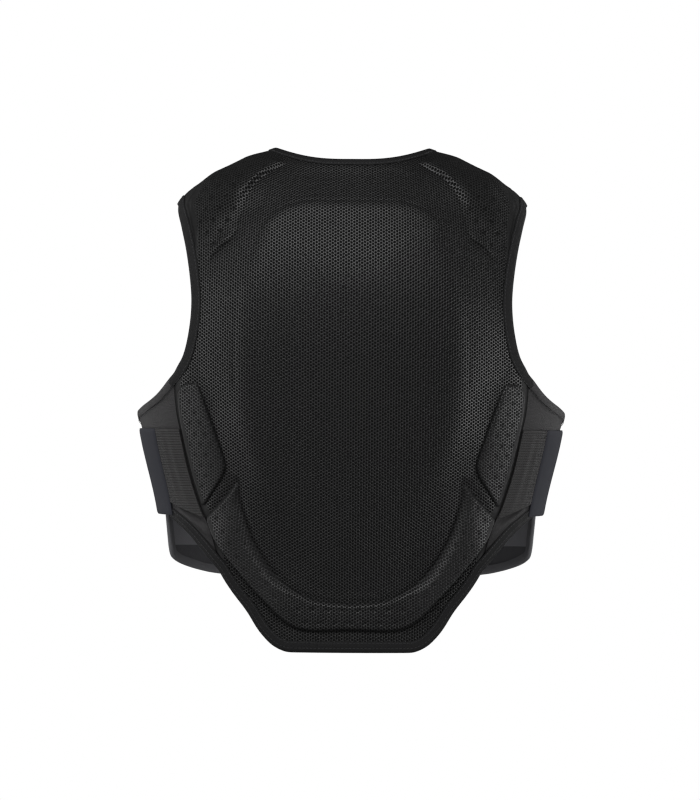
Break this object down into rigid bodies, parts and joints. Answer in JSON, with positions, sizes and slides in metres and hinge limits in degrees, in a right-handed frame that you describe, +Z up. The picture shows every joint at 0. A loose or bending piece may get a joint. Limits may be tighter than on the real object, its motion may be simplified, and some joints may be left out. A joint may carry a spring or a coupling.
{
  "type": "motorcycle protective vest",
  "caption": "Sleeveless protective vest with a padded mesh back, raised foam pads, stretch side panels, waist straps and a plain front, in its worn form.",
  "frame": {"origin": "midway between the shoulders, level with the inside of the neck points, where the vest sits on its wearer", "axes": "+Z up along the wearer's spine, +X to the wearer's right, -Y out of the wearer's back"},
  "size_m": [0.4756, 0.2517, 0.5548],
  "materials": {
    "spacer_mesh": "matte open mesh over foam",
    "stretch_cloth": "matte smooth weave",
    "ribbed_elastic": "matte, fine cross ribs",
    "loop_strap": "satin brushed loop",
    "binding_tape": "matte woven tape"
  },
  "bodies": {
    "root": {"back_panel": "spacer_mesh", "back_shield": "spacer_mesh", "lumbar_pad": "spacer_mesh", "shoulder_pad_left": "spacer_mesh", "shoulder_pad_right": "spacer_mesh", "side_pad_left": "spacer_mesh", "side_pad_right": "spacer_mesh", "front_panel": "stretch_cloth", "side_panel_left": "stretch_cloth", "side_panel_right": "stretch_cloth", "side_elastic_left": "ribbed_elastic", "side_elastic_right": "ribbed_elastic", "waist_strap_left": "loop_strap", "waist_strap_right": "loop_strap", "neck_binding": "binding_tape", "armhole_binding_left": "binding_tape", "armhole_binding_right": "binding_tape", "hem_binding": "binding_tape", "front_hem_binding": "binding_tape"}
  },
  "joints": []
}
